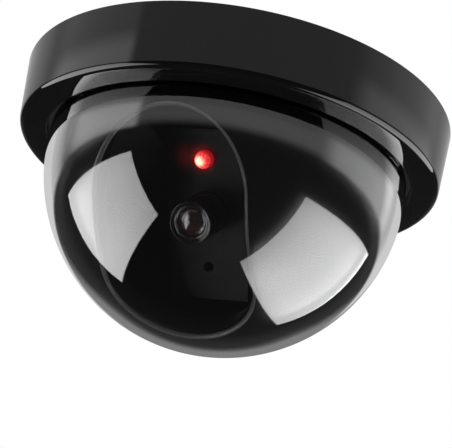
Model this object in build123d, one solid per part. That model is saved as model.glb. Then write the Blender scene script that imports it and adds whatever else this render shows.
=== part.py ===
"""Ceiling dome camera with a battery-powered blinking lamp.

The camera hangs from its mounting plate. +Z points up, the ceiling is the plane z = 0, the lens looks
towards -Y and down, and the origin is the centre of the ceiling face. All sizes are in millimetres.
"""
from build123d import *
from math import cos, radians, sin, tan
import os

os.makedirs("parts", exist_ok=True)

# ---- driving sizes: dome, cells and trim ring ----
dome_d = 100.0            # outside diameter of the clear dome
dome_wall = 1.8
dome_neck = 2.5           # straight length of the dome below the ring face
ring_rim = 10.0           # how far the ring stands outside the dome
cell_d = 14.2             # the cells behind the liner set the ring's height
cell_room = 3.6           # mounting plate, tray floor and clearance
ring_height = cell_d + cell_room
ring_draft = 1.3          # the ring is this much smaller in radius at its lower face
ring_wall = 2.2
ring_face_t = 1.8
ring_edge = 1.7           # rounding of the lower outer edge
ring_inner_edge = 0.45    # rounding of the opening's edge
dome_gap = 1.1            # radial gap between the dome and the ring's opening
flange_lap = 2.0          # how far the dome's flange laps onto the ring face
flange_t = 1.8

# ---- driving sizes: liner and its window ----
liner_gap = 0.5           # radial gap between the dome's inside and the liner
liner_wall = 1.6
liner_flange_t = 1.6
step_lap = 1.4            # the liner's flange stops this far inside the dome's flange
window_width = 39.8
window_run = 22.6         # straight length of the window's sides
window_tilt = 54.7        # the window is cut along a line this far below level, degrees
window_shift = 5.6        # centre of the window from that line, towards the ring
window_round = 0.8        # rounding of the window's outer edge
lip_depth = 5.0           # the wall that turns in from the window's edge
lip_wall = 1.2

# ---- driving sizes: retainer, mounting plate and bayonet ----
retainer_t = 1.8
retainer_lap = 2.0        # the retainer stops this far outside the liner's mouth
ear_angle = 4.6
boss_r = 1.9
plate_t = 2.5
cup_wall = 2.5
cup_depth = 7.0
bayonet_t = 2.1           # thickness of the plate's rim flange
lug_t = 2.0
lug_reach = 4.8
lug_angle = 14.0
lug_count = 3
lug_start = 90.0          # direction of the first lug
notch_angle = 18.0
rib_angle = 2.0           # stops beside each lug's path
rib_play = 1.0            # degrees between a lug and its stop
cup_gap = 1.0             # between the lugs and the cup
twist_angle = 24.0        # twist from locked to the notch
screw_pcd = 84.0
screw_hole_d = 4.2
screw_start = 30.0        # direction of the first ceiling screw

# ---- driving sizes: camera bracket, lens and lamp ----
face_tilt = 36.6          # the face looks this far below level, degrees
face_offset = 15.3        # distance of the face from the dome's centre
lens_drop = 6.5           # lens axis below the dome's centre, measured along the face
bracket_w = 22.0
face_up = 22.7            # the face's length above and below the lens axis
face_down = 24.2
face_t = 2.0
bracket_side = 1.5
bracket_depth = 6.0
barrel_d = 12.0
barrel_len = 12.7
barrel_chamfer = 0.4
groove_pitch = 1.5        # grip grooves round the barrel
groove_w = 0.6
groove_depth = 0.35
groove_count = 3
bore_floor = 3.0
bezel_d = 9.6
bezel_len = 3.2
bezel_back = 0.4          # the bezel stands this far inside the barrel's mouth
bezel_lip = 0.4
glass_seat = 1.8          # depth of the glass's seat in the bezel
glass_rim = 0.7
glass_crown = 1.5
cup_len = 3.0
iris_r = 1.6
lens_d = 8.0
stub_d = 7.8
nut_t = 2.4
nut_across = 10.0
lamp_d = 4.9
lamp_base_t = 1.0
die_cup_r = 1.1
die_cup_top = -0.6
lamp_rise = 1.3           # straight part of the lamp in front of the face
lamp_pitch = 14.7         # lamp to lens axis
hole_pitch = 15.2         # small hole to lens axis
small_hole_d = 3.0
board_w = 18.0
board_len = 30.0
board_t = 1.2
board_back = 8.0          # board behind the face
board_mid = 4.0           # middle of the board above the lens axis
post_r = 2.0
post_x = 6.4
post_up = 8.0
lead_pitch = 2.54

# ---- driving sizes: chassis, cells and switch ----
chassis_t = 2.0
chassis_bearings = (33, 147, 213, 327)
chassis_screw_in = 4.5    # screw centres inside the chassis's edge
post_w = 8.0
post_drop = 8.0
notch_y = -5.0            # the chassis is open in front of here, for the bracket
foot_t = 2.0
foot_y = 3.0
foot_half = 4.0
foot_reach = 3.5          # screw centres outside the bracket
cell_len = 50.0
cell_nub_r = 2.75
cell_nub_len = 1.2
holder_floor = 1.4
holder_end = 1.6
holder_side = 0.7
holder_rib = 1.0          # wall between the cells
scoop_r = 11.0
tab_w = 3.0
tab_len = 3.0
contact_t = 0.4
contact_half = 4.5
spring_len = 3.1
spring_t = 0.35
spring_half_w = 1.8
switch_len = 9.0
switch_w = 4.5
switch_h = 4.0
knob_travel = 2.0
knob_w = 2.0
knob_len = 2.6
knob_sink = 1.5
knob_h = 3.6
switch_x = 29.5
switch_y = -17.0
pin_len = 2.0
pin_pitch = 2.5
wire_d = 1.2
wire_rise = 3.2           # wires stand this far off the board
black_pad = (3.0, 17.0)   # across and above the lens axis, on the board's back
switch_pad = (7.0, 12.8)

# ---- driving sizes: screws ----
retainer_screw_r = 0.8
chassis_screw_r = 1.1
foot_screw_r = 0.9
board_screw_r = 0.7
shank_fit = 0.95          # a shank's radius against its hole's
screw_play = 0.1          # added to the radius where a screw only passes through

# ---- clearances ----
run_gap = 0.2             # between turning and sliding faces
side_gap = 0.4            # beside a piece that drops in
fit_gap = 0.05            # radial, pieces pushed together

# ---- places worked out from the sizes ----
dome_r = dome_d / 2
dome_in_r = dome_r - dome_wall
ring_r = dome_r + ring_rim
ring_in_top = ring_r - ring_wall
ring_in_low = ring_in_top - ring_draft
opening_r = dome_r + dome_gap
flange_r = opening_r + flange_lap
seat_z = -(ring_height - ring_face_t)
flange_top = seat_z + flange_t
centre_z = -(ring_height + dome_neck)
liner_r = dome_in_r - liner_gap
liner_in_r = liner_r - liner_wall
liner_flange_r = flange_r - step_lap - side_gap
liner_flange_z = flange_top + run_gap
retainer_z = liner_flange_z + liner_flange_t + run_gap
boss_circle_r = flange_r + run_gap + boss_r
lug_in_r = ring_in_top - lug_reach
cup_r = lug_in_r - cup_gap
bayonet_z = -cup_depth + bayonet_t
chassis_z = centre_z - chassis_t
chassis_r = liner_in_r - side_gap
foot_x = bracket_w / 2 + foot_reach
cell_pitch = cell_d + holder_rib
holder_h = cell_d + 0.8
holder_len = cell_len + spring_len + 2 * contact_t + 2 * holder_end + run_gap
holder_w = cell_pitch + cell_d + 0.4 + 2 * holder_side
holder_y = notch_y + 0.5 + holder_w / 2
cell_z = centre_z + holder_floor + 0.1 + cell_d / 2
terminal_z = centre_z + switch_h / 2
pin_end_y = switch_y + switch_w / 2 + pin_len
board_low = -board_back - board_t
board_posts = [(-post_x, post_up), (post_x, -post_up)]
lead_places = [(-lead_pitch / 2, lamp_pitch), (lead_pitch / 2, lamp_pitch)]
bezel_front = barrel_len - bezel_back
bezel_low = bezel_front - bezel_len

tilt = radians(face_tilt)
centre = Vector(0, 0, centre_z)
face_out = Vector(0, -cos(tilt), -sin(tilt))
face_rise = Vector(0, -sin(tilt), cos(tilt))
lens_foot = centre + face_out * face_offset - face_rise * lens_drop
face_plane = Plane(origin=lens_foot, x_dir=(1, 0, 0), z_dir=face_out)


def ring_in_r(z):
    """Inside radius of the ring's wall at a height."""
    return ring_in_top + ring_draft * z / ring_height


def spin(points, arc=360.0):
    """Turn a closed outline of (radius, height) points about Z."""
    outline = make_face(Polyline(*points, close=True))
    return revolve(Plane.XZ * outline, axis=Axis.Z, revolution_arc=arc)


def tube(r_out, r_in, z_low, z_high):
    """A ring with a rectangular section."""
    return spin([(r_in, z_low), (r_out, z_low), (r_out, z_high), (r_in, z_high)])


def sector(r_in, r_out, z_low, z_high, middle, angle):
    """A piece of such a ring, centred on an angle in degrees."""
    points = [(r_in, z_low), (r_out, z_low), (r_out, z_high), (r_in, z_high)]
    return Rot(0, 0, middle - angle / 2) * spin(points, angle)


def rod(radius, z_low, z_high, x=0.0, y=0.0):
    """An upright cylinder."""
    body = Cylinder(radius, z_high - z_low, align=(Align.CENTER, Align.CENTER, Align.MIN))
    return Pos(x, y, z_low) * body


def block(x0, x1, y0, y1, z0, z1):
    """A box from its six faces."""
    return Pos((x0 + x1) / 2, (y0 + y1) / 2, (z0 + z1) / 2) * Box(x1 - x0, y1 - y0, z1 - z0)


def ball(radius):
    """A ball about the dome's centre."""
    return Pos(0, 0, centre_z) * Sphere(radius)


def bowl(r_out, r_in, neck_top):
    """Half a ball shell that opens upwards, with a straight neck."""
    half = [
        Line((0, centre_z - r_out), (0, centre_z - r_in)),
        RadiusArc((0, centre_z - r_in), (r_in, centre_z), -r_in),
        Line((r_in, centre_z), (r_in, neck_top)),
        Line((r_in, neck_top), (r_out, neck_top)),
        Line((r_out, neck_top), (r_out, centre_z)),
        RadiusArc((r_out, centre_z), (0, centre_z - r_out), r_out),
    ]
    return revolve(Plane.XZ * make_face(Curve() + half), axis=Axis.Z)


def around(radius, count, start=90.0):
    """Places spread evenly on a circle, as (x, y)."""
    angles = [radians(start + 360.0 / count * i) for i in range(count)]
    return [(radius * cos(a), radius * sin(a)) for a in angles]


def on_face(shape, x=0.0, up=0.0, out=0.0):
    """Place a shape on the camera's face, across, up the face and out from it."""
    return face_plane.location * Pos(x, up, out) * shape


def pan_screw(head_r, head_h, shank_r, shank_len):
    """A pan-head screw with a cross slot, its shank down from z = 0."""
    head = rod(head_r, 0, head_h)
    head = fillet(head.edges().group_by(Axis.Z)[-1], head_h * 0.45)
    slot_depth = head_h * 0.55
    for turn in (0, 90):
        cut = block(-head_r * 0.6, head_r * 0.6, -head_r * 0.14, head_r * 0.14, head_h - slot_depth, head_h)
        head -= Rot(0, 0, turn) * cut
    return head + rod(shank_r, -shank_len, 0)


def wire(points):
    """A round wire along straight runs joined by the largest arcs that fit."""
    radii = []
    for before, at, after in zip(points, points[1:], points[2:]):
        run_in = Vector(*at) - Vector(*before)
        run_out = Vector(*after) - Vector(*at)
        turn = radians(run_in.get_angle(run_out))
        radii.append(0.45 * min(run_in.length, run_out.length) / tan(turn / 2))
    path = FilletPolyline(*points, radius=radii)
    start = Plane(origin=points[0], z_dir=Vector(*points[1]) - Vector(*points[0]))
    return sweep(start * Circle(wire_d / 2), path=path)


def group(shapes):
    """Separate solids kept together as one node."""
    return Compound(children=[s if isinstance(s, Solid) else s.solids()[0] for s in shapes])


# ---- mounting plate ----
def make_mount_plate():
    plate = rod(cup_r, -plate_t, 0)
    plate += tube(cup_r, cup_r - cup_wall, -cup_depth, -plate_t)
    rim_r = ring_in_r(-cup_depth) - side_gap
    lock_rib = -lug_angle / 2 - rib_play - rib_angle / 2
    open_rib = twist_angle + lug_angle / 2 + rib_play + rib_angle / 2
    share = 360 / lug_count
    for turn in range(lug_count):
        base = lug_start + share * turn
        flange_middle = base + twist_angle + share / 2
        plate += sector(cup_r - 0.5, rim_r, -cup_depth, bayonet_z, flange_middle, share - notch_angle)
        for rib in (lock_rib, open_rib):
            plate += sector(cup_r - 0.5, rim_r - 0.4, bayonet_z - 0.5, -plate_t, base + rib, rib_angle)
    for x, y in around(screw_pcd / 2, 3, screw_start):
        plate -= rod(screw_hole_d / 2, -plate_t - 1, 1, x, y)
    return plate


# ---- trim ring ----
def make_trim_ring():
    ring = spin([
        (opening_r, -ring_height), (ring_r - ring_draft, -ring_height), (ring_r, 0), (ring_in_top, 0),
        (ring_in_r(seat_z), seat_z), (opening_r, seat_z),
    ])
    low_edges = ring.edges().group_by(Axis.Z)[0].sort_by(SortBy.LENGTH)
    ring = fillet(low_edges[-1], ring_edge)
    low_edges = ring.edges().group_by(Axis.Z)[0].sort_by(SortBy.LENGTH)
    ring = fillet(low_edges[0], ring_inner_edge)
    lug_top = bayonet_z + run_gap + lug_t
    for turn in range(lug_count):
        middle = lug_start + 360 / lug_count * turn
        ring += sector(lug_in_r, ring_in_top + 0.6, bayonet_z + run_gap, lug_top, middle, lug_angle)
    for x, y in around(boss_circle_r, 3, screw_start):
        ring += rod(boss_r, seat_z - 0.2, retainer_z, x, y)
        ring -= rod(retainer_screw_r * 0.98, seat_z + 0.2, retainer_z + 1, x, y)
    return ring



# ---- clear dome ----
def make_dome():
    shell = bowl(dome_r, dome_in_r, flange_top)
    return shell + tube(flange_r, dome_in_r, seat_z, flange_top)


# ---- retainer ring and its screws ----
def make_retainer():
    keeper = tube(flange_r, liner_in_r + retainer_lap, retainer_z, retainer_z + retainer_t)
    keeper += tube(flange_r, liner_flange_r + side_gap, flange_top, retainer_z)
    ear_r = ring_in_r(retainer_z) - side_gap
    for turn in range(3):
        middle = screw_start + 120 * turn
        keeper += sector(flange_r - 0.5, ear_r, retainer_z, retainer_z + retainer_t, middle, ear_angle)
    for x, y in around(boss_circle_r, 3, screw_start):
        keeper -= rod(retainer_screw_r + screw_play, retainer_z - 1, retainer_z + retainer_t + 1, x, y)
    return keeper


def make_retainer_screws():
    screw = pan_screw(1.4, 1.1, retainer_screw_r * 0.9, retainer_t + 2.6)
    places = around(boss_circle_r, 3, screw_start)
    return group([Pos(x, y, retainer_z + retainer_t) * screw for x, y in places])


# ---- black liner with its window ----
def window_prism(grow):
    """The window's outline, made larger all round, drawn out along the window's line."""
    line = radians(window_tilt)
    outward = Vector(0, -cos(line), -sin(line))
    plane = Plane(origin=centre, x_dir=(1, 0, 0), z_dir=outward)
    outline = SlotCenterToCenter(window_run, window_width + 2 * grow, rotation=90)
    return extrude(plane * Pos(0, window_shift) * outline, amount=liner_r + 10)


def chassis_places():
    """Where the four chassis screws stand."""
    reach = chassis_r - chassis_screw_in
    return [(reach * cos(radians(a)), reach * sin(radians(a))) for a in chassis_bearings]


def make_liner():
    shell = bowl(liner_r, liner_in_r, liner_flange_z + liner_flange_t)
    shell += window_prism(lip_wall) & (ball(liner_in_r + 0.4) - ball(liner_in_r - lip_depth))
    shell -= window_prism(0)
    edges = [e for e in shell.edges() if abs((e @ 0.5 - centre).length - liner_r) < 0.05]
    edges = [e for e in edges if (e @ 0.5).Y < -1 and (e @ 0.3).Z < centre_z - 0.2]
    shell = fillet(edges, window_round)
    shell += tube(liner_flange_r, liner_r - 0.5, liner_flange_z, liner_flange_z + liner_flange_t)
    for x, y in chassis_places():
        post = block(-post_w / 2, post_w / 2, -post_w / 2, 20, chassis_z - post_drop, chassis_z)
        angle = Vector(0, 1, 0).get_signed_angle(Vector(x, y, 0), Vector(0, 0, 1))
        post = Pos(x, y, 0) * Rot(0, 0, angle) * post
        shell += post & ball(liner_in_r + 0.4)
    for x, y in chassis_places():
        shell -= rod(chassis_screw_r, chassis_z - post_drop + 1.5, chassis_z + 1, x, y)
    return shell


# ---- chassis plate ----
def make_chassis():
    plate = rod(chassis_r, chassis_z, centre_z)
    notch_half = bracket_w / 2 + side_gap
    plate -= block(-notch_half, notch_half, -liner_r, notch_y, chassis_z - 1, centre_z + 1)
    plate -= window_prism(lip_wall + side_gap) - ball(liner_in_r - lip_depth - side_gap)
    for x, y in chassis_places():
        plate -= rod(chassis_screw_r + 2 * screw_play, chassis_z - 1, centre_z + 1, x, y)
    for x in (-foot_x, foot_x):
        plate -= rod(foot_screw_r, chassis_z - 1, centre_z + 1, x, foot_y)
    return plate



def make_chassis_screws():
    screw = pan_screw(2.0, 1.4, chassis_screw_r * shank_fit, chassis_t + 5.0)
    return group([Pos(x, y, centre_z) * screw for x, y in chassis_places()])


# ---- camera bracket ----
def side_outline(points):
    """A face in the YZ plane from (y, z) points."""
    return make_face(Polyline(*[(0, y, z) for y, z in points], close=True))


def at_face(up, out):
    """(y, z) of a point on the middle line of the face."""
    place = lens_foot + face_rise * up + face_out * out
    return (place.Y, place.Z)


def make_bracket():
    crown = at_face(face_up, 0)
    toe = at_face(-face_down, 0)
    toe_back = at_face(-face_down, -bracket_depth)
    crown_back = at_face(face_up, -bracket_depth)
    outer = side_outline([
        crown, toe, toe_back, (toe_back[0], chassis_z - run_gap), (notch_y - 1.2, chassis_z - run_gap),
        crown_back,
    ])
    body = extrude(outer, amount=bracket_w / 2, both=True)
    pocket = side_outline([
        at_face(face_up + 5, -face_t), at_face(-face_down + bracket_side, -face_t),
        at_face(-face_down + bracket_side, -60), at_face(face_up + 5, -60),
    ])
    body -= extrude(pocket, amount=bracket_w / 2 - bracket_side, both=True)
    for x in (-foot_x, foot_x):
        low = chassis_z - foot_t
        inner = bracket_w / 2 - bracket_side / 2
        foot = block(inner, foot_x + 3.5, foot_y - foot_half, foot_y + foot_half, low, chassis_z)
        foot -= rod(foot_screw_r + screw_play, low - 1, chassis_z + 1, foot_x, foot_y)
        body += foot if x > 0 else mirror(foot, about=Plane.YZ)
    for x, up in board_posts:
        body += on_face(rod(post_r, -board_back, -face_t + 0.3), x, up)
        body -= on_face(rod(board_screw_r, -board_back - 1, -board_back + 4.5), x, up)
    body -= on_face(rod(stub_d / 2 + fit_gap, -face_t - 1, 1))
    body -= on_face(rod(lamp_d / 2 + fit_gap, -face_t - 1, 1), 0, lamp_pitch)
    body -= on_face(rod(small_hole_d / 2, -face_t - 1, 1), 0, -hole_pitch)
    return body



def make_bracket_screws():
    screw = Rot(180, 0, 0) * pan_screw(1.7, 1.2, foot_screw_r * shank_fit, foot_t + chassis_t * 0.8)
    return group([Pos(x, foot_y, chassis_z - foot_t) * screw for x in (-foot_x, foot_x)])


# ---- lens ----
def make_barrel():
    body = rod(barrel_d / 2, 0, barrel_len)
    body = chamfer(body.edges().group_by(Axis.Z)[-1], barrel_chamfer)
    body += rod(stub_d / 2, -face_t - nut_t - 0.6, 0)
    body -= rod(bezel_d / 2, bore_floor, barrel_len + 1)
    for step in range(groove_count):
        low = groove_pitch * (step + 1)
        groove = rod(barrel_d / 2 + 1, low, low + groove_w)
        body -= groove - rod(barrel_d / 2 - groove_depth, low, low + groove_w)
    return on_face(body)


def make_bezel():
    body = rod(bezel_d / 2 - fit_gap, bezel_low, bezel_front)
    body = chamfer(body.edges().group_by(Axis.Z)[-1], 0.3)
    body -= rod(lens_d / 2 - bezel_lip, bezel_low - 1, bezel_front + 1)
    body -= rod(lens_d / 2, bezel_front - glass_seat, bezel_front + 1)
    return on_face(body)


def make_front_glass():
    back = bezel_front - glass_seat
    crest = back + glass_rim + glass_crown
    half = lens_d / 2 - fit_gap
    ball_r = (half * half + glass_crown * glass_crown) / (2 * glass_crown)
    cap = Pos(0, 0, crest - ball_r) * Sphere(ball_r)
    body = rod(half, back, crest + 1) & (cap + rod(half, back, back + glass_rim))
    return on_face(body)


def make_iris_cup():
    body = rod(bezel_d / 2 - fit_gap, bezel_low - cup_len, bezel_low)
    mouth = Pos(0, 0, bezel_low - cup_len / 2) * Cone(iris_r, bezel_d / 2 - 1.0, cup_len)
    return on_face(body - mouth)


def make_rear_glass():
    top = bezel_low - cup_len
    body = rod(bezel_d / 2 - fit_gap, bore_floor, top)
    bump = Pos(0, 0, top - 3.4) * Sphere(3.9) & rod(1.5, top - 0.2, top + 3)
    return on_face(body + bump)


def make_lens_nut():
    prism = extrude(RegularPolygon(nut_across / 2, 6, major_radius=False), amount=nut_t)
    nut = prism - rod(stub_d / 2 + fit_gap, -1, nut_t + 1)
    return on_face(nut, out=-face_t - nut_t)


# ---- lamp ----
def make_lamp():
    radius = lamp_d / 2
    body = rod(radius, -face_t - lamp_base_t, lamp_rise) + Pos(0, 0, lamp_rise) * Sphere(radius)
    body += rod(radius + 0.4, -face_t - lamp_base_t, -face_t)
    body -= rod(die_cup_r, -face_t - lamp_base_t, die_cup_top)
    return on_face(body, up=lamp_pitch)



def make_lamp_die():
    cup = rod(die_cup_r - fit_gap, -face_t - lamp_base_t, die_cup_top)
    cup -= Pos(0, 0, die_cup_top - 0.35) * Cone(0.45, 0.95, 0.72)
    cup += block(-0.3, 0.3, -0.3, 0.3, die_cup_top - 0.8, die_cup_top - 0.4)
    return on_face(cup, up=lamp_pitch)


def make_lamp_leads():
    lead = block(-0.25, 0.25, -0.25, 0.25, board_low - 0.8, -face_t - lamp_base_t)
    return group([on_face(lead, x, up) for x, up in lead_places])


# ---- blinker board ----
def make_board():
    up0 = board_mid - board_len / 2
    plate = block(-board_w / 2, board_w / 2, up0, up0 + board_len, board_low, -board_back)
    plate = fillet(plate.edges().filter_by(Axis.Z), 1.0)
    for x, up in lead_places:
        plate -= block(x - 0.3, x + 0.3, up - 0.3, up + 0.3, board_low - 1, -board_back + 1)
    for x, up in board_posts:
        plate -= rod(board_screw_r + screw_play, board_low - 1, -board_back + 1, x, up)
    return on_face(plate)


def make_board_screws():
    screw = Rot(180, 0, 0) * pan_screw(1.3, 1.0, board_screw_r * shank_fit, board_t + 3.5)
    return group([on_face(screw, x, up, board_low) for x, up in board_posts])


def make_board_chip():
    body = block(-2.5, 2.5, -2.0, 2.0, board_low - 1.5, board_low)
    body = chamfer(body.edges().group_by(Axis.Z)[0], 0.3)
    for row in range(4):
        x = lead_pitch / 2 * (row - 1.5)
        body += block(x - 0.2, x + 0.2, -3.1, 3.1, board_low - 0.35, board_low)
    return on_face(body, up=0.5)


def make_board_capacitor():
    neck = board_low - 0.6
    can = rod(2.5, board_low - 5.0, neck) + rod(2.2, neck, board_low)
    return on_face(can, -5.0, -5.5)


def make_board_resistors():
    places = [(5.8, 3.5), (5.8, 5.5), (0.5, -6.5)]
    chip = block(-0.8, 0.8, -0.4, 0.4, board_low - 0.5, board_low)
    return group([on_face(chip, x, up) for x, up in places])


# ---- cell holder ----
def make_holder():
    z1 = centre_z + holder_h
    half_x, half_y = holder_len / 2, holder_w / 2
    body = block(-half_x, half_x, -half_y, half_y, centre_z, z1)
    in_x, in_y = half_x - holder_end, half_y - holder_side
    body -= block(-in_x, in_x, -in_y, in_y, centre_z + holder_floor, z1 + 1)
    rib_h = cell_d * 0.28
    body += block(-in_x, in_x, -0.4, 0.4, centre_z, centre_z + holder_floor + rib_h)
    scoop = Rot(90, 0, 0) * Cylinder(scoop_r, holder_w + 2)
    body -= Pos(0, 0, z1 + 1.5) * scoop
    for y in (-cell_pitch / 2, cell_pitch / 2):
        body -= block(in_x - 1, half_x + 1, y - tab_w / 2, y + tab_w / 2, cell_z - 0.3, cell_z + 0.3)
    return Pos(0, holder_y, 0) * body



def make_cells():
    shoulder = cell_len - cell_nub_len
    body = rod(cell_d / 2, 0, shoulder)
    body = fillet(body.edges(), 0.5) + rod(cell_nub_r, shoulder - 0.1, cell_len)
    along = Rot(0, 90, 0) * body
    shift = -holder_len / 2 + holder_end + contact_t + 0.1
    first = Pos(shift + spring_len, holder_y - cell_pitch / 2, cell_z) * along
    flipped = Rot(0, 0, 180) * along
    second = Pos(-shift - spring_len, holder_y + cell_pitch / 2, cell_z) * flipped
    return group([first, second])


def make_contacts():
    end = holder_len / 2 - holder_end
    height = cell_d * 0.35
    plates = []
    for y in (-cell_pitch / 2, cell_pitch / 2):
        sides = (y - contact_half, y + contact_half)
        plate = block(end - contact_t, end, *sides, cell_z - height, cell_z + height)
        tab = block(end - contact_t, end + holder_end + tab_len, y - tab_w / 2 + 0.1, y + tab_w / 2 - 0.1,
                    cell_z - contact_t / 2, cell_z + contact_t / 2)
        plates.append(Pos(0, holder_y, 0) * (plate + tab))
    half = cell_pitch / 2 + contact_half
    bridge = block(-end, -end + contact_t, -half, half, cell_z - height + 2, cell_z + height)
    bridge -= block(-end - 1, -end + 1, -0.6, 0.6, centre_z, cell_z - cell_d * 0.2)
    plates.append(Pos(0, holder_y, 0) * bridge)
    return group(plates)


def make_springs():
    """One bent tongue behind the flat end of each cell."""
    crest = spring_len - spring_t
    inner = crest - spring_t - 0.1
    outline = make_face(Polyline(
        (0, -3.5), (spring_t, -3.5), (crest, 0.4), (crest, 1.0), (spring_t + 0.5, 3.5), (0.5, 3.5),
        (inner, 0.8), (inner, 0.6), (0, -3.1), close=True))
    tongue = extrude(Plane.XZ * outline, amount=spring_half_w, both=True)
    shift = holder_len / 2 - holder_end - contact_t
    first = Pos(-shift, holder_y - cell_pitch / 2, cell_z) * tongue
    second = Pos(shift, holder_y + cell_pitch / 2, cell_z) * Rot(0, 0, 180) * tongue
    return group([first, second])


# ---- switch ----
def make_switch_body():
    z1 = centre_z + switch_h
    body = block(-switch_len / 2, switch_len / 2, -switch_w / 2, switch_w / 2, centre_z, z1)
    body = fillet(body.edges().filter_by(Axis.Z), 0.4)
    slot_half = (knob_len + knob_travel) / 2 + run_gap
    slot_w = knob_w / 2 + run_gap
    body -= block(-slot_half, slot_half, -slot_w, slot_w, z1 - knob_sink, z1 + 1)
    return Pos(switch_x, switch_y, 0) * body


def make_switch_knob():
    z0 = centre_z + switch_h - knob_sink + run_gap
    knob = block(-knob_len / 2, knob_len / 2, -knob_w / 2, knob_w / 2, z0, z0 + knob_h)
    knob = fillet(knob.edges().group_by(Axis.Z)[-1], 0.3)
    for rib in (-0.6, 0.2):
        knob -= block(rib, rib + 0.35, -knob_w, knob_w, z0 + knob_h - 0.3, z0 + knob_h + 1)
    return Pos(switch_x - knob_travel / 2, switch_y, 0) * knob


def make_switch_pins():
    pin = block(-0.5, 0.5, -pin_len, 0, -0.25, 0.25)
    places = [switch_x - pin_pitch, switch_x, switch_x + pin_pitch]
    return group([Pos(x, pin_end_y, terminal_z) * pin for x in places])


# ---- wires ----
def board_entry(pad):
    """A pad on the board's back where a wire ends, and the point that the wire comes from."""
    x, up = pad
    y, z = at_face(up, board_low)
    y2, z2 = at_face(up, board_low - wire_rise)
    return (x, y2, z2), (x, y, z)


def make_red_wire():
    tab_x = holder_len / 2 + tab_len
    y = holder_y - cell_pitch / 2
    pin_x = switch_x + pin_pitch
    return wire([
        (tab_x, y, cell_z), (tab_x + 4.0, y, cell_z), (tab_x + 5.5, y - 6.0, cell_z - 2.5),
        (tab_x + 3.0, pin_end_y + 5.5, terminal_z + 1.5), (pin_x, pin_end_y + 4.0, terminal_z),
        (pin_x, pin_end_y, terminal_z),
    ])


def make_switch_wire():
    near, end = board_entry(switch_pad)
    return wire([
        (switch_x, pin_end_y, terminal_z), (switch_x, pin_end_y + 3.5, terminal_z),
        (switch_x - 6.0, pin_end_y + 4.2, terminal_z + 3.0),
        (switch_x - 14.0, near[1] - 0.4, near[2] + 2.0), near, end,
    ])


def make_black_wire():
    tab_x = holder_len / 2 + tab_len
    y = holder_y + cell_pitch / 2
    near, end = board_entry(black_pad)
    return wire([
        (tab_x, y, cell_z), (tab_x + 4.0, y, cell_z), (tab_x + 5.5, y - 7.0, cell_z + 3.0),
        (tab_x + 4.0, y - 17.0, cell_z + 4.5), (tab_x - 2.0, notch_y - 2.6, cell_z + 4.0),
        (tab_x - 14.0, notch_y - 3.4, cell_z + 3.0), (near[0] + 7.0, near[1], near[2] + 2.0), near, end,
    ])


pieces = {
    "mount_plate": make_mount_plate,
    "trim_ring": make_trim_ring,
    "dome_bubble": make_dome,
    "retainer_ring": make_retainer,
    "retainer_screws": make_retainer_screws,
    "liner": make_liner,
    "chassis_plate": make_chassis,
    "chassis_screws": make_chassis_screws,
    "camera_bracket": make_bracket,
    "bracket_screws": make_bracket_screws,
    "lens_barrel": make_barrel,
    "lens_bezel": make_bezel,
    "front_glass": make_front_glass,
    "iris_cup": make_iris_cup,
    "rear_glass": make_rear_glass,
    "lens_nut": make_lens_nut,
    "lamp_bulb": make_lamp,
    "lamp_die": make_lamp_die,
    "lamp_leads": make_lamp_leads,
    "blinker_board": make_board,
    "board_screws": make_board_screws,
    "board_chip": make_board_chip,
    "board_capacitor": make_board_capacitor,
    "board_resistors": make_board_resistors,
    "cell_holder": make_holder,
    "battery_cells": make_cells,
    "cell_contacts": make_contacts,
    "cell_springs": make_springs,
    "switch_body": make_switch_body,
    "switch_knob": make_switch_knob,
    "switch_pins": make_switch_pins,
    "wire_red": make_red_wire,
    "wire_switch": make_switch_wire,
    "wire_black": make_black_wire,
}

for name, make in pieces.items():
    export_step(make(), "parts/" + name + ".step")
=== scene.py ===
"""Looks of the ceiling dome camera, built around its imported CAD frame.

The object hangs from z = 0 and its lens looks towards -Y. Sizes are in metres.
"""

import logging
import math
from dataclasses import dataclass, field
from enum import StrEnum
from typing import Callable, Optional, Sequence, Union

import bmesh
import bpy
from mathutils import Matrix, Vector


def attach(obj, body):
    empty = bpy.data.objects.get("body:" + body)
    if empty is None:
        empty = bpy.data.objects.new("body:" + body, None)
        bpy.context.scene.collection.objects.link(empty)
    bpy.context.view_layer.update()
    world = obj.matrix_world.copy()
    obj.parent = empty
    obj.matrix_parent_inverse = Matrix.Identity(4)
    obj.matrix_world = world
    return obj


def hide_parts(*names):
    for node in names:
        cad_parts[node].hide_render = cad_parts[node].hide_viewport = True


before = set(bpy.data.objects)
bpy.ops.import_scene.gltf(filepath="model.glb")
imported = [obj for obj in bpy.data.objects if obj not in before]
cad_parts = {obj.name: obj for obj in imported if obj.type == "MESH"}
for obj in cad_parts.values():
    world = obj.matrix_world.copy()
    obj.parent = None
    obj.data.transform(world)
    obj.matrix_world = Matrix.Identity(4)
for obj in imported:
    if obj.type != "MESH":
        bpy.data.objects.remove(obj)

log = logging.getLogger("dome_camera")

MM = 0.001
DEGREES = 180 / math.pi
Point = tuple[float, float]


class Body(StrEnum):
    """The moving bodies that the pieces built here ride on."""

    COVER = "cover"
    TURRET = "turret"


# ---------------------------------------------------------------- shader expressions


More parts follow.
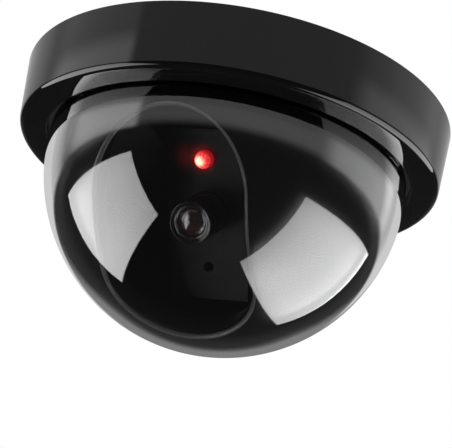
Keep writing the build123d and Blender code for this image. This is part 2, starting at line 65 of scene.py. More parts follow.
class Signal:
    """A socket of a node tree that takes part in Python expressions."""

    def __init__(self, tree: bpy.types.NodeTree, socket: bpy.types.NodeSocket) -> None:
        """Wrap one output socket.

        Args:
            tree: The node tree that the socket belongs to.
            socket: The output socket.
        """
        self.tree = tree
        self.socket = socket

    def _math(self, operation: str, *values: "Operand") -> "Signal":
        """Add a Math node.

        Args:
            operation: The node's operation.
            values: Its inputs in order.

        Returns:
            Its result.
        """
        node = self.tree.nodes.new("ShaderNodeMath")
        node.operation = operation
        for slot, value in zip(node.inputs, values):
            if isinstance(value, Signal):
                self.tree.links.new(value.socket, slot)
            else:
                slot.default_value = value
        return Signal(self.tree, node.outputs[0])

    def __add__(self, other: "Operand") -> "Signal":
        """Sum."""
        return self._math("ADD", self, other)

    def __radd__(self, other: "Operand") -> "Signal":
        """Sum with a number on the left."""
        return self._math("ADD", other, self)

    def __sub__(self, other: "Operand") -> "Signal":
        """Difference."""
        return self._math("SUBTRACT", self, other)

    def __rsub__(self, other: "Operand") -> "Signal":
        """Difference with a number on the left."""
        return self._math("SUBTRACT", other, self)

    def __mul__(self, other: "Operand") -> "Signal":
        """Product."""
        return self._math("MULTIPLY", self, other)

    def __rmul__(self, other: "Operand") -> "Signal":
        """Product with a number on the left."""
        return self._math("MULTIPLY", other, self)

    def __truediv__(self, other: "Operand") -> "Signal":
        """Quotient."""
        return self._math("DIVIDE", self, other)

    def __rtruediv__(self, other: "Operand") -> "Signal":
        """Quotient with a number on the left."""
        return self._math("DIVIDE", other, self)

    def __pow__(self, other: "Operand") -> "Signal":
        """Power."""
        return self._math("POWER", self, other)

    def __rpow__(self, other: "Operand") -> "Signal":
        """Power with a number on the left."""
        return self._math("POWER", other, self)

    def root(self) -> "Signal":
        """Square root."""
        return self._math("SQRT", self)

    def size(self) -> "Signal":
        """Value without its sign."""
        return self._math("ABSOLUTE", self)

    def highest(self, other: "Operand") -> "Signal":
        """The larger of two values."""
        return self._math("MAXIMUM", self, other)

    def angle_to(self, other: "Operand") -> "Signal":
        """Angle of the point (other, self), in degrees."""
        return self._math("ARCTAN2", self, other) * DEGREES

    def arcsine(self) -> "Signal":
        """Arc sine, in degrees."""
        return self._math("ARCSINE", self) * DEGREES

    def rise(self, low: float, high: float) -> "Signal":
        """A smooth step; it falls where low is above high.

        Args:
            low: The value that gives 0.
            high: The value that gives 1.

        Returns:
            The step.
        """
        flip = low > high
        node = self.tree.nodes.new("ShaderNodeMapRange")
        node.interpolation_type = "SMOOTHSTEP"
        self.tree.links.new(self.socket, node.inputs["Value"])
        node.inputs["From Min"].default_value = min(low, high)
        node.inputs["From Max"].default_value = max(low, high)
        node.inputs["To Min"].default_value = 1.0 if flip else 0.0
        node.inputs["To Max"].default_value = 0.0 if flip else 1.0
        return Signal(self.tree, node.outputs["Result"])


Operand = Union[Signal, float]
Colour = tuple[float, float, float]


class Shade:
    """Builds one node tree out of named nodes and expressions."""

    def __init__(self, tree: bpy.types.NodeTree) -> None:
        """Start from an empty tree.

        Args:
            tree: The tree to fill.
        """
        self.tree = tree
        tree.nodes.clear()

    def node(self, kind: str, settings: Optional[dict] = None,
             inputs: Optional[dict] = None) -> bpy.types.Node:
        """Add a node.

        Args:
            kind: The node's type name without its ShaderNode prefix.
            settings: Properties, which are set first.
            inputs: Values or links by socket name or number.

        Returns:
            The new node.
        """
        made = self.tree.nodes.new("ShaderNode" + kind)
        for name, value in (settings or {}).items():
            setattr(made, name, value)
        for name, value in (inputs or {}).items():
            slot = made.inputs[name]
            if isinstance(value, Signal):
                self.tree.links.new(value.socket, slot)
            elif isinstance(value, bpy.types.NodeSocket):
                self.tree.links.new(value, slot)
            elif slot.type == "RGBA" and len(value) == 3:
                slot.default_value = (*value, 1.0)
            else:
                slot.default_value = value
        return made

    def signal(self, kind: str, out: Union[str, int] = 0, settings: Optional[dict] = None,
               inputs: Optional[dict] = None) -> Signal:
        """Add a node and give one of its outputs."""
        return Signal(self.tree, self.node(kind, settings, inputs).outputs[out])

    def place(self) -> Signal:
        """Coordinates fixed to the piece, in metres."""
        return self.signal("TexCoord", "Object")

    def axes(self, vector: Signal) -> tuple[Signal, Signal, Signal]:
        """The three parts of a vector."""
        split = self.node("SeparateXYZ", inputs={0: vector})
        return tuple(Signal(self.tree, split.outputs[i]) for i in range(3))

    def noise(self, scale: float, detail: float = 2.0, rough: float = 0.5) -> Signal:
        """Fractal noise from 0 to 1, with scale in waves a metre."""
        return self.signal("TexNoise", 0, inputs={
            "Vector": self.place(), "Scale": scale, "Detail": detail, "Roughness": rough})

    def distance(self, vector: Signal, spot: Vector) -> Signal:
        """How far a vector is from a point, in metres."""
        return self.signal("VectorMath", "Value", {"operation": "DISTANCE"}, {0: vector, 1: tuple(spot)})

    def along(self, vector: Signal, axis: Vector) -> Signal:
        """How far a vector reaches along a direction."""
        return self.signal("VectorMath", "Value", {"operation": "DOT_PRODUCT"}, {0: vector, 1: tuple(axis)})

    def mix(self, share: Operand, first: Union[Colour, Signal], second: Union[Colour, Signal]) -> Signal:
        """A colour between two others."""
        node = self.node("Mix", {"data_type": "RGBA"}, {"Factor": share, 6: first, 7: second})
        return Signal(self.tree, node.outputs[2])

    def bump(self, height: Signal, depth: float, strength: float = 1.0) -> Signal:
        """A normal from a height from 0 to 1, whose full depth is in metres."""
        return self.signal("Bump", 0, inputs={"Height": height, "Distance": depth, "Strength": strength})

    def principled(self, **sockets: object) -> bpy.types.Node:
        """Add the main shader, with its sockets by name."""
        named = {name.replace("_", " "): value for name, value in sockets.items()}
        return self.node("BsdfPrincipled", inputs=named)

    def surface(self, shader: bpy.types.Node) -> None:
        """Send a shader to the material's output."""
        self.node("OutputMaterial", inputs={"Surface": shader.outputs[0]})


# ---------------------------------------------------------------- finishes


def material(name: str, paint: Callable[[Shade], bpy.types.Node]) -> bpy.types.Material:
    """Make a material.

    Args:
        name: Its name.
        paint: Fills the tree and returns the last shader.

    Returns:
        The material.
    """
    made = bpy.data.materials.new(name)
    made.use_nodes = True
    shade = Shade(made.node_tree)
    shade.surface(paint(shade))
    return made


@dataclass(frozen=True)
class MouldedPlastic:
    """Injection-moulded plastic: a soft gloss that drifts, and a fine or coarse skin."""

    colour: Colour = (0.012, 0.012, 0.013)
    gloss: float = 0.08
    drift: float = 0.04
    skin_scale: float = 900.0
    skin_depth: float = 0.002 * MM
    cloud_scale: float = 38.0
    dust_scale: float = 2600.0
    dust_share: float = 0.06
    coat: float = 0.0
    ior: float = 1.46

    def paint(self, s: Shade) -> bpy.types.Node:
        """Fill a material's tree.

        Args:
            s: The tree under construction.

        Returns:
            Its last shader.
        """
        cloud = s.noise(self.cloud_scale, 3)
        skin = s.noise(self.skin_scale, 3, 0.6)
        dust = s.noise(self.dust_scale, 1, 0.4).rise(0.70, 0.78)
        tone = s.mix(cloud, tuple(c * 0.8 for c in self.colour), tuple(c * 1.2 for c in self.colour))
        return s.principled(
            Base_Color=s.mix(dust * self.dust_share, tone, (0.2, 0.2, 0.2)),
            Roughness=cloud * self.drift + dust * self.dust_share + self.gloss,
            IOR=self.ior,
            Coat_Weight=self.coat,
            Normal=s.bump(skin, self.skin_depth),
        )


@dataclass(frozen=True)
class ClearDome:
    """Thin clear acrylic: it lets light straight through and mirrors it by its angle.

    Both faces of the wall mirror as one, where light meets the wall from outside it. Near its rim the wall
    is seen on edge and carries light along, so it mirrors more there and hides what lies behind.
    """

    tint: Colour = (0.985, 0.987, 0.988)
    head_on: float = 0.052
    rim: float = 0.76
    rim_angles: Point = (0.44, 0.71)
    verge: float = 0.22
    verge_angles: Point = (0.69, 0.73)
    film: float = 0.006

    def paint(self, s: Shade) -> bpy.types.Node:
        """Fill a material's tree.

        Args:
            s: The tree under construction.

        Returns:
            Its last shader.
        """
        facing = s.signal("LayerWeight", "Facing", inputs={"Blend": 0.5})
        face = self.head_on + (1 - self.head_on) * facing ** 5.0
        both = (face * 2.0) / (face + 1.0)
        share = both.highest(facing.rise(*self.rim_angles) * self.rim)
        share = share + facing.rise(*self.verge_angles) * self.verge
        mirror = share * (1.0 - s.signal("NewGeometry", "Backfacing"))
        clear = s.node("BsdfTransparent", inputs={"Color": self.tint})
        shine = s.principled(
            Base_Color=(1.0, 1.0, 1.0), Metallic=1.0, Roughness=s.noise(55, 3) * self.film)
        return s.node("MixShader", inputs={0: mirror, 1: clear.outputs[0], 2: shine.outputs[0]})


@dataclass(frozen=True)
class LensGlass:
    """Coated lens glass."""

    tint: Colour = (0.96, 0.96, 0.965)
    smear: float = 0.03

    def paint(self, s: Shade) -> bpy.types.Node:
        """Fill a material's tree.

        Args:
            s: The tree under construction.

        Returns:
            Its last shader.
        """
        return s.principled(
            Base_Color=self.tint, Roughness=s.noise(900, 2) * self.smear, IOR=1.6, Transmission_Weight=1.0,
            Coat_Weight=0.3, Coat_Tint=(0.9, 0.92, 1.0))


@dataclass(frozen=True)
class PlatedMetal:
    """Plated or bare metal, with fine scratches."""

    colour: Colour = (0.62, 0.62, 0.63)
    gloss: float = 0.22
    scratch: float = 0.15

    def paint(self, s: Shade) -> bpy.types.Node:
        """Fill a material's tree.

        Args:
            s: The tree under construction.

        Returns:
            Its last shader.
        """
        fine = s.noise(1500, 4, 0.7)
        worn = s.noise(210, 2)
        dark = tuple(part * 0.75 for part in self.colour)
        return s.principled(
            Base_Color=s.mix(worn, dark, self.colour), Metallic=1.0,
            Roughness=fine * self.scratch + self.gloss, Normal=s.bump(fine, 0.004 * MM))


@dataclass(frozen=True)
class LitLamp:
    """The lit red lamp: a hot spot over its chip, broken red glass round it."""

    spot: Vector
    radius: float
    heart: Colour = (1.0, 0.93, 0.62)
    pale: Colour = (1.0, 0.30, 0.26)
    bright: Colour = (0.95, 0.02, 0.022)
    deep: Colour = (0.20, 0.002, 0.004)
    power: float = 1.5

    def paint(self, s: Shade) -> bpy.types.Node:
        """Fill a material's tree.

        Args:
            s: The tree under construction.

        Returns:
            Its last shader.
        """
        away = s.distance(s.place(), self.spot)
        speck = s.noise(1500, 2, 0.6).rise(0.38, 0.66)
        core = away.rise(self.radius * 0.80, self.radius * 0.22) * (0.74 + 0.26 * speck)
        halo = away.rise(self.radius * 1.55, self.radius * 0.50)
        red = s.mix(halo, self.deep, self.bright)
        pink = s.mix(speck * halo * 0.36, red, self.pale)
        return s.principled(
            Base_Color=(0.5, 0.01, 0.015), Roughness=speck * 0.05 + 0.04, IOR=1.53,
            Emission_Color=s.mix(core, pink, self.heart), Emission_Strength=self.power)


@dataclass(frozen=True)
class CameraFace:
    """Spark-textured black plastic with a painted red glow of the lamp's light on it."""

    # lamp and glow: centres of the painted red glow of the lamp on the face
    lamp: Vector
    glow: Vector
    hole: Vector
    colour: Colour = (0.005, 0.005, 0.0053)
    worn: Colour = (0.022, 0.022, 0.022)
    light: Colour = (1.0, 0.005, 0.015)

    def paint(self, s: Shade) -> bpy.types.Node:
        """Fill a material's tree.

        Args:
            s: The tree under construction.

        Returns:
            Its last shader.
        """
        place = s.place()
        grain = s.noise(2400, 3, 0.6)
        cloud = s.noise(90, 3)
        patch = s.noise(520, 2, 0.6).rise(0.30, 0.70)
        # painted light: red emission near the lamp and in a pool beside it paints the lamp's glow on the
        # face
        near = s.distance(place, self.lamp).rise(5.4 * MM, 2.0 * MM) ** 1.8
        painted_glow_pool = s.distance(place, self.glow).rise(4.6 * MM, 0.4 * MM)
        rim = s.distance(place, self.hole).rise(3.2 * MM, 1.5 * MM)
        red = (near * 0.10 + painted_glow_pool * 0.030) * (0.35 + 0.8 * grain + 0.5 * patch)
        tone = s.mix(grain, tuple(c * 0.6 for c in self.colour), tuple(c * 1.5 for c in self.colour))
        return s.principled(
            Base_Color=s.mix(rim * 0.5, tone, self.worn),
            Roughness=cloud * 0.1 + 0.36, IOR=1.32,
            Normal=s.bump(grain, 0.012 * MM),
            Emission_Color=s.mix(red, (0.0, 0.0, 0.0), self.light),
            Emission_Strength=1.0)


@dataclass(frozen=True)
class CircuitBoard:
    """Green solder mask over faint copper tracks."""

    mask: Colour = (0.012, 0.12, 0.045)
    copper: Colour = (0.05, 0.22, 0.08)

    def paint(self, s: Shade) -> bpy.types.Node:
        """Fill a material's tree.

        Args:
            s: The tree under construction.

        Returns:
            Its last shader.
        """
        track = s.signal("TexBrick", "Fac", {"offset": 0.5}, {
            "Vector": s.place(), "Scale": 260.0, "Mortar Size": 0.06,
            "Brick Width": 0.9, "Row Height": 0.4})
        return s.principled(
            Base_Color=s.mix(track, self.mask, self.copper), Roughness=0.28 + track * 0.1,
            Normal=s.bump(track, 0.03 * MM))


@dataclass(frozen=True)
class CellJacket:
    """Shrink film of a plain cell: a dark body with one coloured end band."""

    body: Colour = (0.03, 0.035, 0.045)
    end: Colour = (0.55, 0.30, 0.06)
    band: Point = (12.0, 12.3)

    def paint(self, s: Shade) -> bpy.types.Node:
        """Fill a material's tree.

        Args:
            s: The tree under construction.

        Returns:
            Its last shader.
        """
        along = s.axes(s.place())[0]
        start, full = self.band
        band = along.size().rise(start * MM, full * MM)
        crinkle = s.noise(420, 3)
        return s.principled(
            Base_Color=s.mix(band, self.body, self.end), Metallic=0.35,
            Roughness=crinkle * 0.12 + 0.22, Normal=s.bump(crinkle, 0.03 * MM))


# ---------------------------------------------------------------- studio


@dataclass(frozen=True)
class Softbox:
    """A soft light seen from the object, by its four corners as (azimuth, elevation) in degrees.

    Azimuth 0 is straight in front of the lens (-Y), and it grows towards +X.
    """

    corners: tuple[Point, Point, Point, Point]
    power: float
    dim: Point
    floor: float
    edge: float = 0.008

    def mask(self, s: Shade, ray: Signal, swing: Signal) -> Signal:
        """How much of this light a ray meets; it is dimmer towards one azimuth.

        Args:
            s: The tree under construction.
            ray: The ray's direction.
            swing: The ray's azimuth, in degrees.

        Returns:
            The light's strength along the ray.
        """
        aims = [direction(*corner) for corner in self.corners]
        inner = sum(aims, Vector()).normalized()
        total = None
        for first, second in zip(aims, aims[1:] + aims[:1]):
            side = first.cross(second).normalized()
            if side.dot(inner) < 0:
                side = -side
            reach = s.along(ray, side)
            part = reach.rise(-self.edge, self.edge) * (0.9 + 0.1 * reach.rise(0.0, 0.2))
            total = part if total is None else total * part
        return total * (swing.rise(*self.dim) * (1 - self.floor) + self.floor) * self.power


@dataclass(frozen=True)
class Panel:
    """A pale upright panel above the level, between two azimuths in degrees; it is weaker high up."""

    begins: Point
    ends: Point
    power: float
    foot: Point = (5, 8)
    high: Point = (18, 22)
    loss: float = 0.72

    def mask(self, swing: Signal, height: Signal) -> Signal:
        """How much of this panel a ray meets, by its azimuth and elevation."""
        sides = swing.rise(*self.begins) * swing.rise(*self.ends) * height.rise(*self.foot)
        return sides * (1.0 - self.loss * height.rise(*self.high)) * self.power


def direction(azimuth: float, elevation: float) -> Vector:
    """Unit vector at an azimuth from -Y towards +X and an elevation, in degrees."""
    a, e = math.radians(azimuth), math.radians(elevation)
    return Vector((math.sin(a) * math.cos(e), -math.cos(a) * math.cos(e), math.sin(e)))


@dataclass
class Studio:
    """Camera, pale floor and soft light."""

    lens: float = 112.6
    azimuth: float = 20.5
    elevation: float = -20.78
    roll: float = 10.81
    camera_place: tuple[float, float, float] = (0.12957, -0.33890, -0.17153)
    floor_drop: float = 0.75
    floor_r: float = 3.0
    left: Softbox = Softbox(
        ((-41.1, -6.6), (-30.9, -44.3), (-113.0, -41.5), (-99.0, -5.0)), 4.7, (-32, -85), 0.70)
    right: Softbox = Softbox(
        ((75.4, -15.7), (146.5, -2.0), (166.5, -35.0), (68.7, -67.1)), 4.15, (65, 120), 0.66)
    left_panel: Panel = Panel((-36, -42), (-100, -82), 1.2)
    right_panel: Panel = Panel((74, 92), (154, 138), 0.9)
    front_sky: float = 0.42
    back_sky: float = 0.55
    low_back: float = 0.15
    base: float = 0.035

    def build(self) -> None:
        """Make all of it."""
        self._camera()
        self._world()
        self._floor()

    def _camera(self) -> None:
        """Make the camera at its place and angle."""
        data = bpy.data.cameras.new("camera")
        data.lens = self.lens
        data.sensor_width = 36.0
        data.clip_start = 0.01
        back = direction(self.azimuth, self.elevation)
        level = Vector((math.cos(math.radians(self.azimuth)), math.sin(math.radians(self.azimuth)), 0))
        top = back.cross(level)
        turn = math.radians(self.roll)
        right = level * math.cos(turn) + top * math.sin(turn)
        above = back.cross(right)
        camera = bpy.data.objects.new("camera", data)
        axes = Matrix((right, above, back)).transposed().to_4x4()
        camera.matrix_world = Matrix.Translation(self.camera_place) @ axes
        bpy.context.scene.collection.objects.link(camera)
        bpy.context.scene.camera = camera

    def _world(self) -> None:
        """White to the eye; to the surfaces a dark room with two soft lights and a pale upper part.

        The upper part starts higher in front than behind, where a dark wall cuts into it at one side.
        """
        world = bpy.data.worlds.new("studio")
        bpy.context.scene.world = world
        world.use_nodes = True
        s = Shade(world.node_tree)
        ray = s.signal("TexCoord", "Generated")
        x, y, z = s.axes(ray)
        height = z.arcsine()
        swing = x.angle_to(y * -1.0)
        back = swing.size().rise(92, 108)
        front = (1.0 - back) * height.rise(5, 12)
        wall = swing.rise(-148, -156) * swing.rise(-180, -172) * height.rise(17, 12)
        far = back * height.rise(3.5, 7) * (1.0 - wall)
        low = (swing.rise(-130, -142) + swing.rise(169, 182)) * height.rise(-24, -8) * (1.0 - far)
        glow = front * self.front_sky + far * self.back_sky + low * self.low_back + self.base
        glow = glow + self.left_panel.mask(swing, height) + self.right_panel.mask(swing, height)
        glow = glow + self.left.mask(s, ray, swing) + self.right.mask(s, ray, swing)
        room = s.node("Background", inputs={"Color": (1.0, 1.0, 1.0), "Strength": glow})
        white = s.node("Background", inputs={"Color": (1.0, 1.0, 1.0), "Strength": 1.0})
        seen = s.signal("LightPath", "Is Camera Ray")
        both = s.node("MixShader", inputs={0: seen, 1: room.outputs[0], 2: white.outputs[0]})
        s.node("OutputWorld", inputs={"Surface": both.outputs[0]})
        scene = bpy.context.scene
        scene.view_settings.view_transform = "Standard"
        scene.cycles.transparent_max_bounces = 32
        scene.cycles.max_bounces = 14

    def _floor(self) -> None:
        """Make the pale floor far below the object."""
        bpy.ops.mesh.primitive_circle_add(
            vertices=96, radius=self.floor_r, fill_type="NGON", location=(0, 0, -self.floor_drop))
        floor = bpy.context.object
        floor.name = "studio_floor"
        floor.data.materials.append(material("floor", self._floor_paint))
        floor.visible_glossy = False
        floor.visible_diffuse = False
        floor.visible_shadow = False
        floor.visible_transmission = False

    @staticmethod
    def _floor_paint(s: Shade) -> bpy.types.Node:
        """Fill the floor's tree."""
        tone = s.mix(s.noise(30, 4), (0.82, 0.82, 0.82), (0.88, 0.88, 0.88))
        return s.principled(Base_Color=tone, Roughness=0.8, Emission_Color=(1.0, 1.0, 1.0),
                            Emission_Strength=0.35)


# ---------------------------------------------------------------- object


@dataclass(frozen=True)
class Axle:
    """A place and a set of axes that a round piece is turned about, its own Z along the turning axis."""

    origin: Vector = field(default_factory=Vector)
    across: Vector = field(default_factory=lambda: Vector((1, 0, 0)))
    up: Vector = field(default_factory=lambda: Vector((0, 1, 0)))

    def point(self, x: float, y: float, z: float) -> Vector:
        """A point given along the three axes, in millimetres."""
        out = self.across.cross(self.up)
        return self.origin + (self.across * x + self.up * y + out * z) * MM


@dataclass(frozen=True)
class Corner:
    """A corner of a turned outline, with its rounding, in millimetres."""

    r: float
    z: float
    soft: float = 0.0

    @property
    def place(self) -> Vector:
        """The corner as a flat point."""
        return Vector((self.r, self.z))


def outline(corners: Sequence[Corner], steps: int = 6) -> list[Point]:
    """Round the corners of a closed outline.

    Args:
        corners: The corners in order.
        steps: Pieces of each rounding.

    Returns:
        (radius, height) points.
    """
    points: list[Point] = []
    count = len(corners)
    for i, corner in enumerate(corners):
        before, after = corners[i - 1].place, corners[(i + 1) % count].place
        if corner.soft <= 0:
            points.append(tuple(corner.place))
            continue
        back, ahead = (before - corner.place).normalized(), (after - corner.place).normalized()
        half = back.angle(ahead) / 2
        middle = corner.place + (back + ahead).normalized() * corner.soft / math.sin(half)
        start = corner.place + back * corner.soft / math.tan(half) - middle
        end = corner.place + ahead * corner.soft / math.tan(half) - middle
        for step in range(steps + 1):
            points.append(tuple(middle + start.slerp(end, step / steps) * corner.soft))
    return points


def arc(radius: float, z: float, start: float, end: float, steps: int) -> list[Point]:
    """Points on a circle about (0, z), with angles in degrees from level."""
    angles = [math.radians(start + (end - start) * i / steps) for i in range(steps + 1)]
    return [(radius * math.cos(a), z + radius * math.sin(a)) for a in angles]


class Piece:
    """A mesh under construction, in the object's own axes."""

    def __init__(self, name: str) -> None:
        """Start an empty mesh.

        Args:
            name: Name of the finished piece.
        """
        self.name = name
        self.mesh = bmesh.new()

    def grid(self, rows: Sequence[Sequence[Vector]], marked: range = range(0)) -> None:
        """Add a grid of points that closes on itself both ways.

        Args:
            rows: The points, row by row.
            marked: Places along a row whose faces take the second finish.
        """
        made = [[self.mesh.verts.new(point) for point in row] for row in rows]
        for i, row in enumerate(made):
            ahead = made[(i + 1) % len(made)]
            for j, vert in enumerate(row):
                k = (j + 1) % len(row)
                face = self.mesh.faces.new((vert, ahead[j], ahead[k], row[k]))
                face.material_index = int(j in marked)

    def turn(self, points: Sequence[Point], axle: Axle = Axle(), segments: int = 192) -> None:
        """Turn a closed outline all round an axle.

        Args:
            points: Its (radius, height) points.
            axle: The axle.
            segments: Steps round the axle.
        """
        rows = []
        for i in range(segments):
            a = 2 * math.pi * i / segments
            rows.append([axle.point(r * math.cos(a), r * math.sin(a), z) for r, z in points])
        self.grid(rows)

    def sector(self, points: Sequence[Point], middle: float, angle: float, steps: int = 12) -> None:
        """Turn an outline through part of a circle about Z and close its ends.

        Args:
            points: Its (radius, height) points.
            middle: Bearing of the sector's middle, in degrees.
            angle: Its width, in degrees.
            steps: Steps along it.
        """
        rows = []
        for i in range(steps + 1):
            a = math.radians(middle - angle / 2 + angle * i / steps)
            spot = [Vector((r * math.cos(a), r * math.sin(a), z)) * MM for r, z in points]
            rows.append([self.mesh.verts.new(point) for point in spot])
        for row, ahead in zip(rows, rows[1:]):
            for j, vert in enumerate(row):
                k = (j + 1) % len(row)
                self.mesh.faces.new((vert, ahead[j], ahead[k], row[k]))
        self.mesh.faces.new(rows[0])
        self.mesh.faces.new(reversed(rows[-1]))

    def done(self, finish: bpy.types.Material, body: Body, stands_for: str,
             sharp: float = 32.0, second: Optional[bpy.types.Material] = None) -> bpy.types.Object:
        """Finish the mesh and put it in the scene.

        Args:
            finish: Its material.
            body: The body that it moves with.
            stands_for: The CAD node that it is shown in place of.
            sharp: Edges that bend more than this many degrees stay sharp.
            second: The finish of marked faces.

        Returns:
            The object.
        """
        bmesh.ops.remove_doubles(self.mesh, verts=self.mesh.verts, dist=0.0005 * MM)
        bmesh.ops.recalc_face_normals(self.mesh, faces=self.mesh.faces)
        data = bpy.data.meshes.new(self.name)
        self.mesh.to_mesh(data)
        self.mesh.free()
        data.shade_smooth()
        data.set_sharp_from_angle(angle=math.radians(sharp))
        data.materials.append(finish)
        if second:
            data.materials.append(second)
        made = bpy.data.objects.new(self.name, data)
        bpy.context.scene.collection.objects.link(made)
        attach(made, body)
        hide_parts(stands_for)
        log.info("built %s with %d faces", self.name, len(data.polygons))
        return made


def dress(finish: bpy.types.Material, *nodes: str) -> None:
    """Give carried-over CAD nodes a finish.

    Args:
        finish: The finish.
        nodes: Names of the nodes.
    """
    for name in nodes:
        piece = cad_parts[name]
        piece.data.materials.clear()
        piece.data.materials.append(finish)
        log.info("dressed %s", name)


@dataclass(frozen=True)
class Shell:
    """Sizes that the ring, the dome and the liner share, in millimetres."""

    centre_z: float = -20.3
    dome_r: float = 50.0
    dome_wall: float = 1.8
    flange_r: float = 53.1
    seat_z: float = -16.0
    flange_top: float = -14.2


@dataclass
class Cover:
    """Trim ring and clear dome, with their fixings."""

    shell: Shell = Shell()
    ring_r: float = 60.0
    ring_low_r: float = 58.7
    ring_h: float = 17.8
    wall: float = 2.2
    low_edge: float = 1.7
    top_edge: float = 0.35
    opening_r: float = 51.1
    opening_edge: float = 0.45
    lug_in: float = 53.0
    lug_low: float = -4.7
    lug_t: float = 2.0
    lug_angle: float = 14.0
    boss_r: float = 1.9
    boss_hole: float = 0.8
    boss_circle: float = 55.2
    boss_top: float = -12.2
    lug_bearings: tuple[float, ...] = (90, 210, 330)
    boss_bearings: tuple[float, ...] = (30, 150, 270)

    def build(self, gloss: bpy.types.Material, clear: bpy.types.Material) -> None:
        """Make the ring and the dome."""
        self._ring(gloss)
        self._dome(clear)

    def _ring(self, finish: bpy.types.Material) -> None:
        """Make the ring with its bayonet lugs and screw bosses.

        Args:
            finish: Its finish.
        """
        inner = self.ring_r - self.wall
        seat_in = inner + (self.ring_low_r - self.ring_r) * -self.shell.seat_z / self.ring_h
        ring = Piece("trim_ring_shell")
        ring.turn(outline([
            Corner(self.ring_r, 0, self.top_edge),
            Corner(self.ring_low_r, -self.ring_h, self.low_edge),
            Corner(self.opening_r, -self.ring_h, self.opening_edge),
            Corner(self.opening_r, self.shell.seat_z, 0.2),
            Corner(seat_in, self.shell.seat_z, 0.3),
            Corner(inner, 0, self.top_edge),
        ], 10), segments=320)
        root, lug_high = inner + 0.4, self.lug_low + self.lug_t
        lug = outline([
            Corner(self.lug_in, self.lug_low, 0.3), Corner(root, self.lug_low),
            Corner(root, lug_high), Corner(self.lug_in, lug_high, 0.3),
        ], 3)
        for middle in self.lug_bearings:
            ring.sector(lug, middle, self.lug_angle)
        seat = self.shell.seat_z
        boss = outline([
            Corner(self.boss_hole, seat + 0.2), Corner(self.boss_r, seat - 0.1),
            Corner(self.boss_r, self.boss_top, 0.2), Corner(self.boss_hole, self.boss_top, 0.1),
        ], 3)
        for bearing in self.boss_bearings:
            a = math.radians(bearing)
            spot = Vector((math.cos(a), math.sin(a), 0)) * self.boss_circle * MM
            ring.turn(boss, Axle(spot), 40)
        ring.done(finish, Body.COVER, "trim_ring")

    def _dome(self, finish: bpy.types.Material) -> None:
        """Make the dome as one wall with a true inner and outer face.

        Args:
            finish: Its finish.
        """
        s = self.shell
        inner = s.dome_r - s.dome_wall
        rim = [Corner(inner, s.flange_top, 0.2), Corner(s.flange_r, s.flange_top, 0.2),
               Corner(s.flange_r, s.seat_z, 0.2), Corner(s.dome_r, s.seat_z)]
        walls = arc(s.dome_r, s.centre_z, 0, -90, 72) + arc(inner, s.centre_z, -90, 0, 72)
        dome = Piece("clear_dome")
        dome.turn(outline(rim, 3) + walls, segments=320)
        dome.done(finish, Body.COVER, "dome_bubble")


